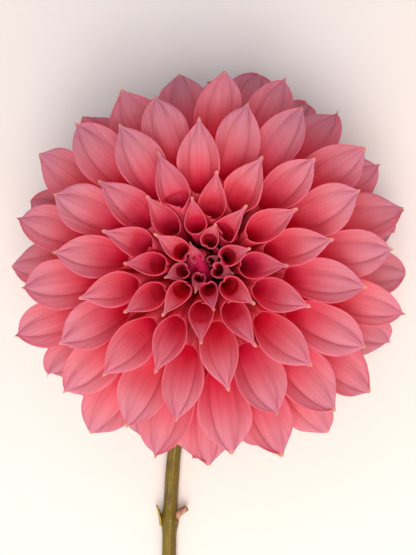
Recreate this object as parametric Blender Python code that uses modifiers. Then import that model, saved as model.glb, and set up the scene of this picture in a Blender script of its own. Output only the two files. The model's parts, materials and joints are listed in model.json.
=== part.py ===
"""Dahlia flower: one double bloom on a short cut stem, lying face up on a flat surface.

The bloom is a ball of ray florets that all grow from a domed receptacle at the ball's centre.
Floret number i sits at a fixed turn from the one before it, so the florets form the crossing
spirals of a real dahlia head. Number 0 is the youngest, at the heart, and the last one is at the
back. The bloom faces +Z, and the stem bends under it and lies along the surface towards -Y.
Everything is laid out from the ball's centre in millimetres, and the whole flower then hangs on
one empty, which sets it down with its lowest petals on Z = 0.
"""

import math

import bmesh
import bpy
from mathutils import Vector

MM = 0.001
GAP = 0.3  # clearance between pieces that touch on the real flower

# The spiral of florets
FLORETS = 98
DIVERGENCE = math.radians(137.45)  # turn from each floret to the next, clockwise from above
FIRST_AZIMUTH = math.radians(-52)
CROWDING = math.radians(4.5)  # the florets crowd a little towards +Y
CROWDING_SKEW = math.radians(1.5)
POLAR_LAW = (8.0, 140.0, -117.0, 83.0)  # degrees from +Z at the tip, as a cubic in age
YOUNGEST_REACH = 36.0  # tip of floret 0 from the ball's centre
MATURE_REACH = 61.0
BACK_SHRINK = 2.5  # the oldest florets reach this much less far
MATURE_AGE = 0.62

# The ray florets
BLADE_THICKNESS = 0.55
YOUNG_HALF_WIDTH = 3.6
HALF_WIDTH_GAIN = 6.8
CLAW_HALF_WIDTH = 1.35
CLAW_CURL = math.radians(150)
BASE_LEAN = 0.8  # polar angle at the base, as a share of the tip's
ACROSS = 4  # mesh cells across a blade
ALONG = (0.0, 0.2, 0.45, 0.68, 0.87, 1.0)  # mesh stations along a blade

# The groups of florets that grow from one ring of tissue, numbered from the heart
HEART_COUNT = 13
WHORL_COUNT = 13
WHORLS = (  # name, polar angle of its ring in degrees
    ("back_florets_upper", 60.5),
    ("back_florets_middle", 73.2),
    ("back_florets_lower", 86.0),
)
WHORL_SPREAD = math.radians(2.5)
HEART_LEAN = 0.66
SINGLE_END = FLORETS - WHORL_COUNT * len(WHORLS)

# The receptacle and the rings that sit flush in its surface
CORE_RADIUS = 10.0
RING_RADIUS = 11.3
RING_HALF_ANGLE = math.radians(5.6)
HEART_EDGE = math.radians(20.4)
SHOULDER_EDGE = math.radians(54.2)
CORE_EDGE = math.radians(97)
NECK_RADIUS = 3.6
NECK_Z = -7.5

# The stem
STEM_RADIUS = 2.6
BEND_RADIUS = 10.5
NODE_Y = -82.0
NODE_SWELL = 0.8
NODE_LENGTH = 3.5
STEM_END = (-15.0, -120.0)
STEM_SWAY = 3.5  # how early the stem reaches its place to the left
STEM_SIDES = 10

# What is left of two leaves at the stem's node
SCALE_LENGTH = 8.0
SCALE_HALF_WIDTH = 2.4
SCALE_FLARE = 1.6
STALK_RADIUS = 1.3
STALK_LENGTH = 3.6
STALK_LEAN = math.radians(35)  # from straight out, towards the bloom

# The petals that lie over the stem are pushed up by it
STEM_AZIMUTH = math.radians(-100)
LIFT = math.radians(12)
LIFT_WIDTH = math.radians(17)
LIFT_START = math.radians(84)
LIFT_END = math.radians(114)

# The bracts behind the bloom
INNER_BRACTS = 8
OUTER_BRACTS = 5
BRACT_ALONG = (0.0, 0.4, 0.75, 1.0)


def smooth(value):
    """0 below 0, 1 above 1, and an S curve between."""
    value = min(1.0, max(0.0, value))
    return value * value * (3 - 2 * value)


def mix(a, b, share):
    return a + (b - a) * share


def spherical(radius, polar, azimuth):
    return Vector(
        (
            radius * math.sin(polar) * math.cos(azimuth),
            radius * math.sin(polar) * math.sin(azimuth),
            radius * math.cos(polar),
        )
    )


# ---- where each floret grows -------------------------------------------------------------


def azimuth_of(number):
    turn = FIRST_AZIMUTH - number * DIVERGENCE
    return turn + CROWDING * math.cos(turn) - CROWDING_SKEW * math.sin(turn)


def angle_from_stem(azimuth):
    return (azimuth - STEM_AZIMUTH + math.pi) % (2 * math.pi) - math.pi


def tip_polar_of(number):
    age = number / (FLORETS - 1)
    polar = math.radians(sum(c * age**power for power, c in enumerate(POLAR_LAW)))
    near_stem = math.exp(-((angle_from_stem(azimuth_of(number)) / LIFT_WIDTH) ** 2))
    return polar - LIFT * near_stem * smooth((polar - LIFT_START) / (LIFT_END - LIFT_START))


def reach_of(age):
    grown = math.sin(math.pi / 2 * min(1.0, age / MATURE_AGE))
    past = max(0.0, (age - MATURE_AGE) / (1 - MATURE_AGE))
    return mix(YOUNGEST_REACH, MATURE_REACH, grown) - BACK_SHRINK * past**2


def base_polar_of(number):
    """Singles grow where their tips point; a whorl's florets gather on its ring."""
    if number < HEART_COUNT:
        return HEART_LEAN * tip_polar_of(number)
    if number < SINGLE_END:
        return BASE_LEAN * tip_polar_of(number)
    whorl, place = divmod(number - SINGLE_END, WHORL_COUNT)
    middle = (WHORL_COUNT - 1) / 2
    return math.radians(WHORLS[whorl][1]) + WHORL_SPREAD * (place - middle) / middle


# ---- the shape of a floret's blade -------------------------------------------------------


def outline(along):
    """Half-width along the blade, as a share of its widest: a narrow claw, a broad blade, a point."""
    widest = 0.66
    if along < widest:
        return smooth(0.08 + 0.92 * along / widest)
    past = (along - widest) / (1 - widest)
    return 1 - past**1.9


def curl_at(along, age):
    """Half the angle that the blade's section turns through: a tube at the claw, open further out."""
    cup = mix(math.radians(118), math.radians(26), smooth(age / 0.62))
    lip = mix(math.radians(50), math.radians(12), smooth(age / 0.5))
    opened = smooth(along / mix(0.75, 0.5, age))
    return mix(mix(CLAW_CURL, cup, opened), lip, smooth((along - 0.72) / 0.28))


class Blade:
    """The middle surface of one floret: a strip curled across and swept out from the centre."""

    def __init__(self, number, base_radius):
        self.age = number / (FLORETS - 1)
        self.azimuth = azimuth_of(number)
        self.tip_polar = tip_polar_of(number)
        self.base_polar = base_polar_of(number)
        self.base_radius = base_radius
        self.tip_radius = reach_of(self.age)
        self.half_width = YOUNG_HALF_WIDTH + HALF_WIDTH_GAIN * smooth(self.age / 0.58)

    def point(self, along, across):
        radius = mix(self.base_radius, self.tip_radius, along)
        polar = mix(self.base_polar, self.tip_polar, along**1.5)
        half = max(CLAW_HALF_WIDTH * (1 - along), self.half_width * outline(along))
        curl = curl_at(along, self.age)
        bow = half / curl
        sideways = bow * math.sin(curl * across)
        inward = bow * (1 - math.cos(curl * across)) - 0.5 * bow * (1 - math.cos(curl))
        side = Vector((-math.sin(self.azimuth), math.cos(self.azimuth), 0))
        axis_ward = -spherical(1, polar + math.pi / 2, self.azimuth)
        return spherical(radius, polar, self.azimuth) + side * sideways + axis_ward * inward


# ---- small helpers -----------------------------------------------------------------------


def new_collection(name):
    collection = bpy.data.collections.new(name)
    bpy.context.scene.collection.children.link(collection)
    return collection


def new_material(name, colour, roughness):
    material = bpy.data.materials.new(name)
    material.use_nodes = True
    shader = material.node_tree.nodes["Principled BSDF"]
    shader.inputs["Base Color"].default_value = (*colour, 1)
    shader.inputs["Roughness"].default_value = roughness
    shader.inputs["Metallic"].default_value = 0
    return material


def new_object(name, mesh, material, collection):
    obj = bpy.data.objects.new(name, mesh)
    obj.data.materials.append(material)
    collection.objects.link(obj)
    return obj


def sheet(name, point, material, collection, thickness, along=ALONG, across=ACROSS):
    """A grid laid on point(along, across) and given a thickness. It closes to a point at its tip."""
    grid = bmesh.new()
    bmesh.ops.create_grid(grid, x_segments=across, y_segments=len(along) - 1, size=1)
    for vertex in grid.verts:
        station = along[round((vertex.co.y + 1) / 2 * (len(along) - 1))]
        vertex.co = point(station, vertex.co.x) * MM
    bmesh.ops.remove_doubles(grid, verts=grid.verts, dist=0.01 * MM)
    mesh = bpy.data.meshes.new(name)
    grid.to_mesh(mesh)
    grid.free()
    mesh.shade_smooth()
    obj = new_object(name, mesh, material, collection)
    solidify = obj.modifiers.new("thickness", "SOLIDIFY")
    solidify.thickness = thickness * MM
    solidify.offset = 0
    return obj


def turned(name, profile, material, collection, closed=False, steps=24):
    """A profile of (radius, height) points turned about Z. An open one runs from top to bottom."""
    wire = bmesh.new()
    points = [wire.verts.new((r * MM, 0, z * MM)) for r, z in profile]
    for first, second in zip(points, points[1:]):
        wire.edges.new((first, second))
    if closed:
        wire.edges.new((points[-1], points[0]))
    mesh = bpy.data.meshes.new(name)
    wire.to_mesh(mesh)
    wire.free()
    obj = new_object(name, mesh, material, collection)
    screw = obj.modifiers.new("turn", "SCREW")
    screw.steps = screw.render_steps = steps
    screw.use_merge_vertices = True
    screw.merge_threshold = 0.01 * MM
    screw.use_smooth_shade = False
    return obj


def arc(radius, start, end, count):
    """Points of (radius, height) on a circle about the centre, from one polar angle to another."""
    angles = [mix(start, end, k / (count - 1)) for k in range(count)]
    return [(radius * math.sin(a), radius * math.cos(a)) for a in angles]


def helper(obj):
    obj.hide_render = True
    obj.display_type = "WIRE"


def join_to(ring, name, members):
    """The ring becomes one solid with its florets, which stay as hidden operands."""
    group = new_collection(name + "_members")
    for member in members:
        for owner in member.users_collection:
            owner.objects.unlink(member)
        group.objects.link(member)
        helper(member)
    union = ring.modifiers.new("florets", "BOOLEAN")
    union.operation = "UNION"
    union.operand_type = "COLLECTION"
    union.collection = group
    union.solver = "EXACT"


# ---- the bloom ---------------------------------------------------------------------------


def make_single_florets(material, collection):
    for number in range(HEART_COUNT, SINGLE_END):
        blade = Blade(number, RING_RADIUS + GAP)
        sheet(f"ray_floret_{number:02d}", blade.point, material, collection, BLADE_THICKNESS)


def floret_helpers(numbers, material, collection):
    inside_ring = (CORE_RADIUS + GAP + RING_RADIUS) / 2
    made = []
    for number in numbers:
        blade = Blade(number, inside_ring)
        name = f"member_{number:02d}"
        made.append(sheet(name, blade.point, material, collection, BLADE_THICKNESS, across=3))
    return made


def make_back_whorls(material, collection):
    for place, (name, ring_polar) in enumerate(WHORLS):
        middle = math.radians(ring_polar)
        start, end = middle - RING_HALF_ANGLE, middle + RING_HALF_ANGLE
        outside = arc(RING_RADIUS, start, end, 4)
        inside = arc(CORE_RADIUS + GAP, end, start, 4)
        ring = turned(name, outside + inside, material, collection, closed=True)
        first = SINGLE_END + place * WHORL_COUNT
        numbers = range(first, first + WHORL_COUNT)
        join_to(ring, name, floret_helpers(numbers, material, collection))


def make_heart(material, collection):
    """The youngest florets, with a closed bud in their middle, on one cap of tissue."""
    edge = HEART_EDGE - math.radians(1.6)
    bud = [(0, 30), (1.0, 29), (1.7, 26), (1.9, 21), (1.5, 15), (1.2, RING_RADIUS)]
    outside = arc(RING_RADIUS, math.radians(8), edge, 3)
    inside = arc(CORE_RADIUS + GAP, edge, 0, 4)
    inside[-1] = (0, CORE_RADIUS + GAP)
    cap = turned("young_florets", bud + outside + inside, material, collection)
    join_to(cap, "young_florets", floret_helpers(range(HEART_COUNT), material, collection))


def make_receptacle(material, collection):
    """The domed end of the stem, with recesses where the heart's cap and the whorls' rings sit."""
    profile = arc(CORE_RADIUS, 0, HEART_EDGE, 4)
    profile += arc(RING_RADIUS, HEART_EDGE, SHOULDER_EDGE, 6)
    profile += arc(CORE_RADIUS, SHOULDER_EDGE, CORE_EDGE, 7)
    profile += [(NECK_RADIUS + 3.5, -3.4), (NECK_RADIUS + 0.6, -5.6), (NECK_RADIUS, NECK_Z), (0, NECK_Z)]
    profile[0] = (0, CORE_RADIUS)
    turned("receptacle", profile, material, collection)


# ---- the bracts --------------------------------------------------------------------------


def bract_point(azimuth, radii, polars, half_width, curl):
    """A pointed scale from one radius and polar angle to another, hollow on its upper side."""

    def point(along, across):
        radius = mix(*radii, along)
        polar = mix(*polars, along**0.8)
        half = half_width * mix(0.62, 1, smooth(along / 0.5)) * (1 - smooth((along - 0.5) / 0.5))
        side = Vector((-math.sin(azimuth), math.cos(azimuth), 0))
        up = -spherical(1, polar + math.pi / 2, azimuth)
        middle = spherical(radius, polar, azimuth)
        return middle + side * (half * across) + up * (half * curl * across * across)

    return point


def make_bracts(inner_material, outer_material, collection):
    ring_profile = [(6.4, -4.4), (9.0, -3.6), (9.2, -4.5), (6.2, -5.4)]
    ring = turned("inner_bracts", ring_profile, inner_material, collection, closed=True)
    members = []
    for place in range(INNER_BRACTS):
        azimuth = 2 * math.pi * (place + 0.5) / INNER_BRACTS
        point = bract_point(azimuth, (8.6, 21.5), (math.radians(117), math.radians(107.5)), 4.6, 0.2)
        name = f"inner_{place + 1}"
        members.append(sheet(name, point, inner_material, collection, 0.5, BRACT_ALONG, 2))
    join_to(ring, "inner_bracts", members)
    for place in range(OUTER_BRACTS):
        azimuth = 2 * math.pi * (place + 0.25) / OUTER_BRACTS
        point = bract_point(azimuth, (7.6, 19.5), (math.radians(140), math.radians(123)), 2.6, 0.25)
        name = f"outer_bract_{place + 1}"
        sheet(name, point, outer_material, collection, 0.8, BRACT_ALONG, 2)


# ---- the stem ----------------------------------------------------------------------------


def floor_z():
    """The height of the lowest petal tip below the ball's centre."""
    return min(
        reach_of(n / (FLORETS - 1)) * math.cos(tip_polar_of(n)) for n in range(FLORETS)
    )


def stem_radius_at(y):
    return STEM_RADIUS + NODE_SWELL * math.exp(-(((y - NODE_Y) / NODE_LENGTH) ** 2))


def stem_route():
    """Down from the receptacle, round the bend under the bloom, and along the surface."""
    lying = floor_z() + STEM_RADIUS + NODE_SWELL + 0.1
    turn_z = lying + BEND_RADIUS
    route = [Vector((0, 0, NECK_Z - GAP)), Vector((0, 0, (NECK_Z - GAP + turn_z) / 2))]
    for step in range(7):
        angle = math.pi / 2 * step / 6
        y = -BEND_RADIUS * (1 - math.cos(angle))
        route.append(Vector((0, y, turn_z - BEND_RADIUS * math.sin(angle))))
    end_x, end_y = STEM_END
    steps = 18
    for step in range(1, steps + 1):
        share = step / steps
        sway = 1 - (1 - share) ** STEM_SWAY
        route.append(Vector((end_x * sway, mix(-BEND_RADIUS, end_y, share), lying)))
    return route


def make_stem(material, collection):
    data = bpy.data.curves.new("stem", "CURVE")
    data.dimensions = "3D"
    data.bevel_depth = STEM_RADIUS * MM
    data.bevel_resolution = (STEM_SIDES - 4) // 2
    data.use_fill_caps = True
    spline = data.splines.new("POLY")
    route = stem_route()
    spline.points.add(len(route) - 1)
    for point, place in zip(spline.points, route):
        point.co = (*(place * MM), 1)
        point.radius = stem_radius_at(place.y) / STEM_RADIUS
    data.materials.append(material)
    stem = bpy.data.objects.new("stem", data)
    collection.objects.link(stem)
    return route


def make_node_pieces(route, bud_material, stub_material, collection):
    """What a pair of leaves left at the stem's node: a bud scale on the left, a cut leaf stalk on the right."""
    node = min(route, key=lambda place: abs(place.y - NODE_Y))

    def scale_point(along, across):
        radius = stem_radius_at(node.y) + GAP + 0.35 + SCALE_FLARE * along**2
        around = across * SCALE_HALF_WIDTH * (1 - along**1.6) / radius
        out = Vector((-math.cos(around), 0, math.sin(around)))
        return node + out * radius + Vector((0, SCALE_LENGTH * (along - 0.2), 0))

    sheet("node_bud_scale", scale_point, bud_material, collection, 0.6, BRACT_ALONG, 2)

    out = Vector((math.cos(STALK_LEAN), math.sin(STALK_LEAN), 0))
    start = node + out * ((stem_radius_at(node.y) + GAP) / math.cos(STALK_LEAN) + STALK_RADIUS)
    stalk = bmesh.new()
    bmesh.ops.create_cone(
        stalk,
        cap_ends=True,
        segments=10,
        radius1=STALK_RADIUS * MM,
        radius2=STALK_RADIUS * 0.8 * MM,
        depth=STALK_LENGTH * MM,
    )
    mesh = bpy.data.meshes.new("leaf_stalk_stub")
    stalk.to_mesh(mesh)
    stalk.free()
    obj = new_object("leaf_stalk_stub", mesh, stub_material, collection)
    obj.location = (start + out * (STALK_LENGTH / 2 - STALK_RADIUS * 0.35)) * MM
    obj.rotation_euler = out.to_track_quat("Z", "Y").to_euler()


# ---- the whole flower --------------------------------------------------------------------


def set_down(collection):
    """Hangs every piece on one empty and moves it, so that the origin is under the middle of the box."""
    bloom = bpy.data.objects.new("dahlia_frame", None)
    collection.objects.link(bloom)
    bpy.context.view_layer.update()
    graph = bpy.context.evaluated_depsgraph_get()
    low, high = Vector((1, 1, 1)), Vector((-1, -1, -1))
    for obj in collection.objects:
        if obj.type == "EMPTY":
            continue
        for vertex in obj.evaluated_get(graph).to_mesh().vertices:
            low = Vector(map(min, low, vertex.co))
            high = Vector(map(max, high, vertex.co))
    for obj in bpy.data.objects:
        if obj != bloom:
            obj.parent = bloom
    bloom.location = (-(low.x + high.x) / 2, -(low.y + high.y) / 2, -low.z)


def main():
    for obj in list(bpy.data.objects):
        bpy.data.objects.remove(obj)
    flower = new_collection("dahlia_flower")
    young = new_material("young_petal", (0.56, 0.05, 0.09), 0.55)
    petal = new_material("coral_petal", (0.75, 0.17, 0.19), 0.5)
    back = new_material("back_petal", (0.83, 0.25, 0.24), 0.5)
    green = new_material("stem_green", (0.16, 0.19, 0.03), 0.5)
    bract = new_material("outer_bract_green", (0.12, 0.19, 0.04), 0.55)
    papery = new_material("inner_bract", (0.36, 0.33, 0.12), 0.6)
    bud = new_material("bud_scale_green", (0.36, 0.34, 0.08), 0.6)
    dry = new_material("leaf_stalk_dry", (0.42, 0.25, 0.14), 0.7)
    make_receptacle(green, flower)
    make_heart(young, flower)
    make_single_florets(petal, flower)
    make_back_whorls(back, flower)
    make_bracts(papery, bract, flower)
    route = make_stem(green, flower)
    make_node_pieces(route, bud, dry, flower)
    set_down(flower)


main()
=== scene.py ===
"""Finishes the dahlia flower: every floret, scale, bract and the stem as they look on a fresh bloom."""

import json
import math

import bmesh
import bpy
import numpy as np
from bpy.props import FloatProperty, FloatVectorProperty, IntProperty, PointerProperty, StringProperty
from mathutils import Matrix, Vector

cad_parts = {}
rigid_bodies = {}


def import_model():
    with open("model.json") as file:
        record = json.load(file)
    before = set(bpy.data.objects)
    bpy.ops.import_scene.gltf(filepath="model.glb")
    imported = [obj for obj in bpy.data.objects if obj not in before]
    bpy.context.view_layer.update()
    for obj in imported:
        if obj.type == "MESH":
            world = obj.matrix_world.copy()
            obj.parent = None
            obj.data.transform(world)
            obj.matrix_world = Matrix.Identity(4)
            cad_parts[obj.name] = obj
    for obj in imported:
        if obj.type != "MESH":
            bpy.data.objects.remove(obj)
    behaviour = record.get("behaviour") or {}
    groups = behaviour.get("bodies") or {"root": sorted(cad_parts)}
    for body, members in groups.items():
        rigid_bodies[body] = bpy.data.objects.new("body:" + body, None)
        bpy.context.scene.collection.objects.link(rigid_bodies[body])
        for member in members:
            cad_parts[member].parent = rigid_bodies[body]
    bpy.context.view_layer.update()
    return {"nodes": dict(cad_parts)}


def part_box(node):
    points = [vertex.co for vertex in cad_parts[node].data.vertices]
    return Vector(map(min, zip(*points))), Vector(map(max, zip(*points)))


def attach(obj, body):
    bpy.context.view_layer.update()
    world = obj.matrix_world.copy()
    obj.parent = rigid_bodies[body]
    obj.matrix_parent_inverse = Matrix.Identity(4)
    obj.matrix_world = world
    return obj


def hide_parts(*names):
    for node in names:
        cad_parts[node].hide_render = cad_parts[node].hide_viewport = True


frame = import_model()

bl_info = {
    "name": "Dahlia Flower",
    "version": (1, 0, 0),
    "blender": (4, 5, 0),
    "location": "3D View > Sidebar > Dahlia",
    "description": "Builds a double dahlia bloom floret by floret, with its bracts and cut stem",
    "category": "Object",
}

MM = 0.001
FLORETS = 98
HEART_FLORETS = 13
BACK_FLORETS = 39
ROWS = 38  # stations along a floret's blade
TUBE_ROWS = 9  # the ones below its mouth
COLUMNS = 25  # and across it
IMMATURE = 6  # tiny florets inside the youngest numbered one
POINT_START = 0.965  # where a blade's rounded end gives way to its hard point
CUT_ANGLE = math.radians(50)  # edges sharper than this aren't smoothed
SIDEWAYS = np.array([0.0, 1.0, 0.0])
UPRIGHT = np.array([0.0, 0.0, 1.0])

# The frame the solids give
receptacle_low, receptacle_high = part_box("receptacle")
NECK_DEPTH = 7.5  # from the bloom's centre down to the foot of the receptacle
receptacle_middle = (receptacle_low + receptacle_high) / 2
CENTRE = Vector((receptacle_middle.x, receptacle_middle.y, receptacle_low.z + NECK_DEPTH * MM))
FLOOR = -CENTRE.z / MM  # height of the surface, in millimetres from the bloom's centre


# ---- what a user can change --------------------------------------------------------------


def size_setting(label, value, text, **more):
    return FloatProperty(name=label, description=text, default=value, **more)


def angle_setting(label, degrees, text):
    return FloatProperty(name=label, description=text, default=math.radians(degrees), subtype="ANGLE")


def count_setting(label, value, text):
    return IntProperty(name=label, description=text, default=value)


def colour_setting(label, code, text):
    return StringProperty(name=label, description=text, default=code)


class DahliaBloom(bpy.types.PropertyGroup):
    """Sizes of the bloom, in millimetres and degrees about its centre."""

    divergence: angle_setting("Divergence", 137.45, "Turn from one floret to the next younger one")
    first_azimuth: angle_setting("First azimuth", -52, "Where the youngest floret points")
    crowding: angle_setting("Crowding", 4.5, "How far the florets crowd towards +Y")
    crowding_skew: angle_setting("Crowding skew", 1.5, "How far they crowd towards -X")
    polar_law: FloatVectorProperty(
        name="Polar law",
        description="Angle of a tip from the upright, in degrees, as a cubic in the floret's age",
        default=(8.0, 140.0, -117.0, 83.0),
        size=4,
    )
    youngest_reach: size_setting("Youngest reach", 36.0, "Tip of the youngest floret from the centre")
    mature_reach: size_setting("Mature reach", 61.0, "Tip of a grown floret from the centre")
    base_radius: size_setting("Base radius", 10.4, "Where the florets leave the receptacle")
    half_width: size_setting("Half width", 9.7, "Half the flattened width of a grown floret")
    thickness: size_setting("Petal thickness", 0.42, "Thickness of a petal along its middle")
    unevenness: size_setting("Unevenness", 1.0, "How much the florets differ from each other", min=0, max=2)
    seed: count_setting("Seed", 4, "Which florets differ, and how")


class DahliaStem(bpy.types.PropertyGroup):
    """Sizes of the stem and of the bracts behind the bloom, in millimetres."""

    radius: size_setting("Radius", 2.25, "Half the stem's thickness")
    bend_radius: size_setting("Bend radius", 10.5, "Of the bend under the bloom")
    end: FloatVectorProperty(
        name="Cut end",
        description="Where the cut end lies from the bloom's centre",
        default=(-15.0, -120.0),
        size=2,
    )
    sway: size_setting("Sway", 3.5, "How early it reaches its place aside")
    node_place: size_setting("Node", -82.0, "Where a pair of leaves grew")
    node_swell: size_setting("Node swelling", 0.75, "Extra radius at the node")
    ribs: count_setting("Ribs", 9, "Faint ribs round the stem")
    rib_depth: size_setting("Rib depth", 0.07, "How far a rib stands out")
    bump_depth: size_setting("Bumps", 0.16, "How uneven the skin is")
    inner_bracts: count_setting("Inner bracts", 8, "Number of papery bracts")
    outer_bracts: count_setting("Outer bracts", 5, "Number of fleshy bracts")


class DahliaColours(bpy.types.PropertyGroup):
    """Colours of the living tissues, as sRGB hex values."""

    throat: colour_setting("Throat", "#E00030", "Inside, at the base")
    crimson: colour_setting("Crimson", "#E6244E", "Lower half of a blade")
    coral: colour_setting("Coral", "#DC7888", "Middle of a grown blade")
    rose: colour_setting("Rose", "#D6A8B6", "Upper part of a blade")
    blush: colour_setting("Blush", "#F098B0", "Margins, and ends of the young blades")
    mauve: colour_setting("Mauve", "#C8AECA", "Just under the tip")
    cream: colour_setting("Cream", "#F0D9A0", "The hard point at the tip")
    magenta: colour_setting("Magenta", "#CC1E5A", "Backs of the young florets")
    salmon: colour_setting("Salmon", "#E8808C", "Backs of the grown florets")
    glow: colour_setting("Glow", "#FF5870", "Light that comes through a blade")
    stem: colour_setting("Stem", "#766700", "Sunlit side of the stem")
    # Painted shade on the stem's right side, and also the colour of its real brown blotches
    stem_brown_and_shade: colour_setting("Stem shade", "#4C3200", "Browned side of the stem")
    bract: colour_setting("Outer bract", "#5F7A2C", "Fleshy bracts")
    membrane: colour_setting("Inner bract", "#A8A468", "Papery bracts")


class DahliaStage(bpy.types.PropertyGroup):
    """The surface, the lights and the camera."""

    floor: colour_setting("Floor", "#E6E4DF", "Colour of the surface")
    distance: size_setting("Camera distance", 0.300, "From the bloom's centre", unit="LENGTH")
    focal_share: size_setting("Focal share", 975 / 555, "Focal length as a share of the frame's long side")
    key_power: size_setting("Key light", 0.5, "Power of the sky side, in watts")
    fill_power: size_setting("Fill light", 3.2, "Power of the warm side, in watts")
    top_power: size_setting("Top light", 3.6, "Power of the overhead light, in watts")


# ---- helpers -----------------------------------------------------------------------------


def linear(code):
    """A linear RGBA colour from an sRGB hex value."""
    values = [int(code[place : place + 2], 16) / 255 for place in (1, 3, 5)]
    return (*[v / 12.92 if v <= 0.04045 else ((v + 0.055) / 1.055) ** 2.4 for v in values], 1)


def smooth(value):
    value = np.clip(value, 0, 1)
    return value * value * (3 - 2 * value)


def rise(number, start, span):
    """0 for florets up to the start, 1 past the span, and smooth between."""
    return float(smooth((number - start) / span))


def mix(a, b, share):
    return a + (b - a) * share


def in_plane(aside, up):
    """Points in the upright plane of a floret or bract."""
    return np.stack([aside, 0 * aside, up], axis=1)


def linked(name, data, finish=None):
    """A new object in the scene, with its finish."""
    obj = bpy.data.objects.new(name, data)
    bpy.context.scene.collection.objects.link(obj)
    if finish:
        data.materials.append(finish)
    return obj


def finish_piece(obj, slot, *nodes):
    """Puts a finished piece on the flower's one body, in place of the solids it stands for."""
    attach(obj, "root")
    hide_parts(*nodes)


class Nodes:
    """A node tree, with short ways to add the nodes that every tree uses."""

    def __init__(self, tree):
        self.tree = tree

    def fill(self, node, inputs):
        """Fills a node's sockets with values or links."""
        for key, value in inputs.items():
            if isinstance(value, bpy.types.NodeSocket):
                self.tree.links.new(value, node.inputs[key])
            else:
                node.inputs[key].default_value = value

    def add(self, kind, inputs=None, **settings):
        node = self.tree.nodes.new(kind)
        for name, value in settings.items():
            setattr(node, name, value)
        self.fill(node, inputs or {})
        return node

    def out(self, kind, inputs=None, **settings):
        """The first output of a new node."""
        return self.add(kind, inputs, **settings).outputs[0]

    def math(self, operation, *values):
        return self.out("ShaderNodeMath", dict(enumerate(values)), operation=operation)

    def plus(self, first, second):
        return self.math("ADD", first, second)

    def minus(self, first, second):
        return self.math("SUBTRACT", first, second)

    def times(self, first, second):
        return self.math("MULTIPLY", first, second)

    def over(self, first, second):
        return self.math("DIVIDE", first, second)


class ShapeTree(Nodes):
    """A geometry node tree with named inputs, whose shape ends as real faces with one finish."""

    def __init__(self, name, kinds):
        super().__init__(bpy.data.node_groups.new(name, "GeometryNodeTree"))
        for label, kind in kinds.items():
            self.tree.interface.new_socket(label, in_out="INPUT", socket_type="NodeSocket" + kind)
        self.tree.interface.new_socket("Geometry", in_out="OUTPUT", socket_type="NodeSocketGeometry")
        self.given = self.add("NodeGroupInput").outputs

    def finish(self, geometry):
        real = self.out("GeometryNodeRealizeInstances", {"Geometry": geometry})
        finished = {"Geometry": real, "Material": self.given["Finish"]}
        self.add("NodeGroupOutput", {"Geometry": self.out("GeometryNodeSetMaterial", finished)})
        return self.tree


def built(name, data, tree, values):
    """What a geometry node tree makes of an object with these inputs, baked to a plain mesh object."""
    holder = linked(name + "_source", data)
    modifier = holder.modifiers.new("shape", "NODES")
    modifier.node_group = tree
    for item in tree.interface.items_tree:
        if item.in_out == "INPUT" and item.name in values:
            modifier[item.identifier] = values[item.name]
    bpy.context.view_layer.update()
    graph = bpy.context.evaluated_depsgraph_get()
    mesh = bpy.data.meshes.new_from_object(holder.evaluated_get(graph), depsgraph=graph)
    mesh.name = name
    bpy.data.objects.remove(holder)
    return linked(name, mesh)


# ---- where a floret grows and how far ----------------------------------------------------

STEM_AZIMUTH = math.radians(-100)
LIFT = math.radians(12)  # the low florets over the stem stand this much higher
LIFT_WIDTH = math.radians(17)
LIFT_START = math.radians(84)
LIFT_END = math.radians(114)
MATURE_AGE = 0.62  # from this age on the florets are full grown
BACK_SHRINK = 2.5  # and the oldest are shorter again, by this many millimetres


def azimuth_of(bloom, number):
    turn = bloom.first_azimuth - number * bloom.divergence
    return turn + bloom.crowding * math.cos(turn) - bloom.crowding_skew * math.sin(turn)


def tip_polar_of(bloom, number):
    age = number / (FLORETS - 1)
    polar = math.radians(sum(c * age**power for power, c in enumerate(bloom.polar_law)))
    from_stem = (azimuth_of(bloom, number) - STEM_AZIMUTH + math.pi) % (2 * math.pi) - math.pi
    near_stem = math.exp(-((from_stem / LIFT_WIDTH) ** 2))
    return polar - LIFT * near_stem * smooth((polar - LIFT_START) / (LIFT_END - LIFT_START))


def reach_of(bloom, age):
    grown = math.sin(math.pi / 2 * min(1.0, age / MATURE_AGE))
    past = max(0.0, (age - MATURE_AGE) / (1 - MATURE_AGE))
    return mix(bloom.youngest_reach, bloom.mature_reach, grown) - BACK_SHRINK * past**2


# ---- the form of one floret --------------------------------------------------------------


def polar_step(bloom, number):
    """How much further from the upright each floret's tip is than the one before it."""
    age = max(0.0, number / (FLORETS - 1))
    slope = sum(power * c * age ** (power - 1) for power, c in enumerate(bloom.polar_law) if power)
    return math.radians(slope) / (FLORETS - 1)


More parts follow.
